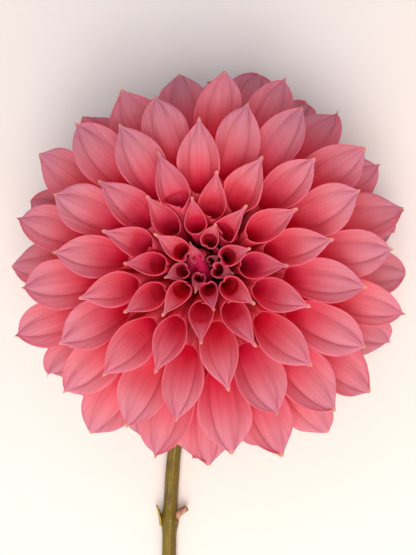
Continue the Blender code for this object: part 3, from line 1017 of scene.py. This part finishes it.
def petal_epidermis(name, colours):
    """Fresh petal: a velvety skin of domed cells over thin, juicy tissue, with fine veins lengthwise.

    The domed cells give a soft sheen and no sharp highlight, and light comes through the blade.
    """
    finish = Shader(name)
    across, along = finish.blade()
    centred = finish.math("ABSOLUTE", finish.minus(finish.times(across, 2.0), 1.0))
    chance = finish.attribute("chance")
    deep = finish.times(finish.attribute("mouth"), 0.5)
    shown = finish.over(finish.minus(along, deep), finish.minus(1.0, deep))
    grown = finish.step(finish.attribute("age"), 0.05, 0.45)

    throat, crimson, coral, rose = colours.throat, colours.crimson, colours.coral, colours.rose
    young = finish.ramp(shown, (0.4, throat), (0.7, crimson), (0.88, coral), (1.0, colours.blush))
    upper = ((0.65, coral), (0.83, rose), (1.0, colours.mauve))
    mature = finish.ramp(shown, (0.24, throat), (0.46, crimson), *upper)
    outer = finish.blend(grown, colours.magenta, colours.salmon)
    pale_end = finish.math("MULTIPLY_ADD", grown, 0.7, 0.3)
    outer = finish.blend(finish.times(finish.step(shown, 0.6, 0.98), pale_end), outer, rose)
    skin = finish.blend(finish.attribute("inside"), outer, finish.blend(grown, young, mature))

    margin = finish.times(finish.step(centred, 0.84, 1.0), finish.step(shown, 0.4, 0.65))
    skin = finish.tint(skin, margin, 0.5, colours.blush)
    skin = finish.tint(skin, finish.step(along, 0.978, 0.996), 0.75, colours.cream)
    veins = finish.fibres("across_mm", 1 / VEIN_SPACING_MM, 0.035, 2.0, finish.times(chance, 50.0))
    skin = finish.tint(skin, finish.step(veins, 0.35, 0.7), 0.22, "#C0305A", "MULTIPLY")
    patchy = finish.step(finish.noise(finish.place(), 160.0, 3.0), 0.4, 0.75)
    own = {
        "Hue": finish.math("MULTIPLY_ADD", chance, 0.010, 0.489),
        "Value": finish.math("MULTIPLY_ADD", chance, 0.12, 0.92),
        "Color": finish.tint(skin, patchy, 0.08, "#F4A0A8"),
    }
    finish.set(Base_Color=finish.out("ShaderNodeHueSaturation", own))

    pleat = finish.math("ABSOLUTE", finish.minus(centred, 0.4))
    pleat = finish.minus(1.0, finish.step(pleat, 0.0, 0.05))
    normal = finish.bump(finish.minus(finish.times(veins, 0.5), pleat), 0.5, 0.0003)
    finish.set(Roughness=0.55, Specular_IOR_Level=0.2)
    finish.set(Sheen_Weight=0.06, Sheen_Roughness=0.4, Sheen_Tint=linear("#FF9AB0"))
    finish.set(Subsurface_Weight=0.18, Subsurface_Scale=0.0012, Subsurface_Radius=(1.0, 0.3, 0.25))
    through = {"Color": linear(colours.glow), "Normal": normal}
    through = finish.out("ShaderNodeBsdfTranslucent", through)
    both = {0: TRANSLUCENCE, 1: finish.surface.outputs[0], 2: through}
    both = finish.out("ShaderNodeMixShader", both)
    finish.fill(finish.tree.nodes["Material Output"], {"Surface": both})
    return finish.material


def cut_tissue(name, lit, shaded, roughness, fineness):
    """Cut and drying plant tissue: mottled and grained, under a thin film of wax."""
    finish = Shader(name)
    grain = finish.noise(finish.place(), fineness, 4.0)
    blotch = finish.noise(finish.place(), 90.0, 3.0)
    share = finish.step(finish.plus(grain, blotch), 0.85, 1.2)
    finish.bump(grain, 0.3, 0.0002)
    finish.set(Base_Color=finish.blend(share, lit, shaded), Roughness=roughness)
    finish.set(Coat_Weight=0.15, Coat_Roughness=0.35, Subsurface_Weight=0.1, Subsurface_Scale=0.001)
    return finish.material


def bract_tissue(name, lit, shaded, roughness):
    """Bract tissue, with fine veins along it and a browner tip."""
    finish = Shader(name)
    veins = finish.fibres("across_mm", 2.5, 0.05, 3.0)
    skin = finish.blend(finish.step(veins, 0.35, 0.7), lit, shaded)
    tip = finish.step(finish.blade()[1], 0.82, 1.0)
    finish.bump(veins, 0.4, 0.0002)
    finish.set(Base_Color=finish.tint(skin, tip, 0.7, "#6B4A22"), Roughness=roughness)
    finish.set(Subsurface_Weight=0.12, Subsurface_Scale=0.001)
    return finish.material


def stem_tissue(name, lit, shaded):
    """Smooth stem skin under a waxy cuticle: green, with brown blotches, painted shade on its right side,
    and fibres and specks.
    """
    finish = Shader(name)
    fibres = finish.fibres("round", 60.0, 0.09, 4.0)
    blotch = finish.noise(finish.place(), 130.0, 4.0)
    browned = finish.times(finish.step(finish.plus(fibres, blotch), 0.85, 1.2), 0.7)
    # Painted shade: the stem's right side is darkened towards the shaded colour, as if turned away from the
    # light
    right = finish.times(finish.step(finish.attribute("aside_mm"), -0.3, 1.9), 0.6)
    skin = finish.blend(finish.math("MAXIMUM", browned, right), lit, shaded)
    cells = finish.out("ShaderNodeTexVoronoi", {"Vector": finish.place(), "Scale": 900.0})
    speck = finish.minus(1.0, finish.step(cells, 0.12, 0.22))
    finish.bump(fibres, 0.35, 0.0002)
    finish.set(Base_Color=finish.tint(skin, speck, 0.35, "#B9B06A"), Roughness=0.45)
    finish.set(Coat_Weight=0.06, Coat_Roughness=0.35, Specular_IOR_Level=0.35)
    finish.set(Subsurface_Weight=0.1, Subsurface_Scale=0.001)
    return finish.material


def floor_material(stage):
    """Matt painted board, with a faint unevenness so that it isn't a flat tone."""
    finish = Shader("matt painted board")
    tone = finish.noise(finish.place(), 12.0, 4.0)
    finish.set(Base_Color=finish.tint(stage.floor, tone, 0.08, "#CFCBC4"), Roughness=0.8)
    return finish.material


# ---- one operator for each group of pieces -----------------------------------------------


def make_florets(name, numbers, slot, *nodes):
    """A run of florets of the spiral, as one piece. The youngest run holds the folded ones too."""
    bloom = bpy.context.scene.dahlia_bloom
    florets = lay_florets(bloom)
    finish = petal_epidermis(f"{slot} epidermis", bpy.context.scene.dahlia_colours)
    spiral = {
        "First number": numbers[0],
        "First azimuth": bloom.first_azimuth,
        "Divergence": bloom.divergence,
        "Crowding": bloom.crowding,
        "Crowding skew": bloom.crowding_skew,
    }
    piece = spiral_piece(name, [florets[number] for number in numbers], finish, spiral)
    if numbers[0] < 0:
        folded = [folded_floret(place) for place in range(len(FOLDED))]
        extra = spiral_piece("folded_florets", folded, finish, {})
        with bpy.context.temp_override(active_object=piece, selected_editable_objects=[piece, extra]):
            bpy.ops.object.join()
    finish_piece(piece, slot, *nodes)


class DAHLIA_OT_heart(bpy.types.Operator):
    """Make the youngest florets, still rolled into horns round the heart"""

    bl_idname = "dahlia.heart"
    bl_label = "Young florets"

    def execute(self, context):
        numbers = range(-IMMATURE, HEART_FLORETS)
        make_florets("young_rolled_florets", numbers, "young_petal", "young_florets")
        return {"FINISHED"}


class DAHLIA_OT_ray_florets(bpy.types.Operator):
    """Make the open ray florets on the front of the bloom"""

    bl_idname = "dahlia.ray_florets"
    bl_label = "Ray florets"

    def execute(self, context):
        numbers = range(HEART_FLORETS, FLORETS - BACK_FLORETS)
        nodes = [f"ray_floret_{number:02d}" for number in numbers]
        make_florets("open_ray_florets", numbers, "coral_petal", *nodes)
        return {"FINISHED"}


class DAHLIA_OT_back_florets(bpy.types.Operator):
    """Make the oldest florets, which bend back round the rim"""

    bl_idname = "dahlia.back_florets"
    bl_label = "Back florets"

    def execute(self, context):
        numbers = range(FLORETS - BACK_FLORETS, FLORETS)
        nodes = [f"back_florets_{place}" for place in ("upper", "middle", "lower")]
        make_florets("reflexed_back_florets", numbers, "back_petal", *nodes)
        return {"FINISHED"}


class DAHLIA_OT_bracts(bpy.types.Operator):
    """Make the papery inner bracts and the fleshy outer bracts behind the bloom"""

    bl_idname = "dahlia.bracts"
    bl_label = "Bracts"

    def execute(self, context):
        stem, colours = context.scene.dahlia_stem, context.scene.dahlia_colours
        chance = np.random.default_rng(BRACT_SEED)
        papery = bract_tissue("papery inner bract", colours.membrane, "#8A7A44", 0.5)
        fleshy = bract_tissue("fleshy outer bract", colours.bract, "#3F5A1E", 0.45)
        ring = bract_ring("inner_bract_ring", stem.inner_bracts, INNER_BRACT, papery, chance, 1 / 2, 2)
        finish_piece(ring, "inner_bract", "inner_bracts")
        ring = bract_ring("outer_bract_ring", stem.outer_bracts, OUTER_BRACT, fleshy, chance, 1 / 4, 5)
        names = [f"outer_bract_{place + 1}" for place in range(stem.outer_bracts)]
        finish_piece(ring, "outer_bract_green", *names)
        return {"FINISHED"}


class DAHLIA_OT_stem(bpy.types.Operator):
    """Make the cut stem with its node, and give the receptacle its living surface"""

    bl_idname = "dahlia.stem"
    bl_label = "Stem"

    def execute(self, context):
        stem, colours = context.scene.dahlia_stem, context.scene.dahlia_colours
        green = stem_tissue("waxy green stem", colours.stem, colours.stem_brown_and_shade)
        pith = cut_tissue("cut pith", "#D9D6A0", "#A9A25C", 0.7, 900.0)
        finish_piece(make_stem_piece(stem, green, pith), "stem_green", "stem")

        along, across = np.linspace(0, 1, 24), np.linspace(-1, 1, 13)
        points = bud_scale_points(stem, along, across) + np.array(CENTRE) / MM
        facts = {"across_mm": 3 * across[None], "along_mm": 8 * along[:, None]}
        mesh = shell_mesh("node_bud_scale", points, along, across, 0.5, facts)
        budded = bract_tissue("yellow-green bud scale", "#BCAE50", "#8A7A2C", 0.5)
        finish_piece(linked("pointed_bud_scale", mesh, budded), "bud_scale_green", "node_bud_scale")

        around = np.linspace(0, 2 * math.pi, 24, endpoint=False)
        mesh = capped_tube("leaf_stalk_stub", stalk_points(stem, np.linspace(0, 1, 16), around))
        dry = cut_tissue("drying cut stalk", "#B58A6E", "#7E5A3C", 0.65, 800.0)
        finish_piece(linked("cut_leaf_stalk", mesh, dry), "leaf_stalk_dry", "leaf_stalk_stub")
        frame["nodes"]["receptacle"].data.materials[0] = green
        return {"FINISHED"}


SENSOR_MM = 36.0
WORLD_LIGHT = 0.54
VIEW_LEAN = math.radians(-4.32)  # the camera stands a little to the bloom's right
VIEW_DIP = math.radians(0.78)  # and a little below its axis
FRAMING = Vector((-0.5, -2.75, 0))  # slides the view so that the stem has room, in millimetres


def view_axes():
    """The camera's right, up and backward directions."""
    right = Vector((math.cos(VIEW_LEAN), 0, math.sin(VIEW_LEAN)))
    level = Vector((-math.sin(VIEW_LEAN), 0, math.cos(VIEW_LEAN)))
    back = level * math.cos(VIEW_DIP) - Vector((0, math.sin(VIEW_DIP), 0))
    return right, back.cross(right), back


def add_light(name, place, size, power, colour):
    data = bpy.data.lights.new(name, "AREA")
    data.shape = "DISK"
    data.size = size
    data.energy = power
    data.color = linear(colour)[:3]
    light = linked(name, data)
    light.location = CENTRE + Vector(place)
    light.rotation_euler = (-Vector(place)).to_track_quat("-Z", "Y").to_euler()


class DAHLIA_OT_stage(bpy.types.Operator):
    """Set the flower on a pale board under soft light, with the camera over it"""

    bl_idname = "dahlia.stage"
    bl_label = "Stage"

    def execute(self, context):
        stage = context.scene.dahlia_stage
        mesh = bpy.data.meshes.new("board")
        grid = bmesh.new()
        bmesh.ops.create_grid(grid, x_segments=8, y_segments=8, size=2)
        grid.to_mesh(mesh)
        grid.free()
        board = linked("board", mesh, floor_material(stage))

        right, up, back = view_axes()
        camera = linked("camera", bpy.data.cameras.new("camera"))
        camera.data.sensor_width = SENSOR_MM
        camera.data.lens = stage.focal_share * SENSOR_MM
        camera.data.clip_start = 0.01
        place = CENTRE + back * stage.distance + (right * FRAMING.x + up * FRAMING.y) * MM
        turned = Matrix((right, up, back)).transposed().to_4x4()
        camera.matrix_world = Matrix.Translation(place) @ turned
        context.scene.camera = camera

        add_light("sky_side", (-0.12, 0.5, 0.55), 0.5, stage.key_power, "#D4DAFF")
        add_light("ground_side", (0.1, -0.55, 0.45), 0.6, stage.fill_power, "#FFDFCC")
        add_light("overhead", (0.03, -0.26, 0.69), 0.45, stage.top_power, "#FFF4F2")
        world = bpy.data.worlds.new("studio")
        world.use_nodes = True
        background = world.node_tree.nodes["Background"]
        background.inputs["Color"].default_value = linear("#F2F1F4")
        background.inputs["Strength"].default_value = WORLD_LIGHT
        context.scene.world = world
        context.scene.view_settings.view_transform = "Standard"
        return {"FINISHED"}


class DAHLIA_PT_panel(bpy.types.Panel):
    """Lists the dahlia's settings and the steps that build it"""

    bl_idname = "DAHLIA_PT_panel"
    bl_label = "Dahlia"
    bl_space_type = "VIEW_3D"
    bl_region_type = "UI"
    bl_category = "Dahlia"

    def draw(self, context):
        for group in GROUPS:
            box = self.layout.box()
            settings = getattr(context.scene, group)
            for name in settings.bl_rna.properties.keys():
                if name not in ("rna_type", "name"):
                    box.prop(settings, name)
        for operator in OPERATORS:
            self.layout.operator(operator.bl_idname)


GROUPS = {
    "dahlia_bloom": DahliaBloom,
    "dahlia_stem": DahliaStem,
    "dahlia_colours": DahliaColours,
    "dahlia_stage": DahliaStage,
}
OPERATORS = (
    DAHLIA_OT_heart,
    DAHLIA_OT_ray_florets,
    DAHLIA_OT_back_florets,
    DAHLIA_OT_bracts,
    DAHLIA_OT_stem,
    DAHLIA_OT_stage,
)


def register():
    for group in GROUPS.values():
        bpy.utils.register_class(group)
    for operator in OPERATORS:
        bpy.utils.register_class(operator)
    bpy.utils.register_class(DAHLIA_PT_panel)
    for name, group in GROUPS.items():
        setattr(bpy.types.Scene, name, PointerProperty(type=group))


def unregister():
    for name in GROUPS:
        delattr(bpy.types.Scene, name)
    bpy.utils.unregister_class(DAHLIA_PT_panel)
    for operator in reversed(OPERATORS):
        bpy.utils.unregister_class(operator)
    for group in reversed(GROUPS.values()):
        bpy.utils.unregister_class(group)


def main():
    register()
    bpy.ops.dahlia.heart()
    bpy.ops.dahlia.ray_florets()
    bpy.ops.dahlia.back_florets()
    bpy.ops.dahlia.bracts()
    bpy.ops.dahlia.stem()
    bpy.ops.dahlia.stage()


if __name__ == "__main__":
    main()
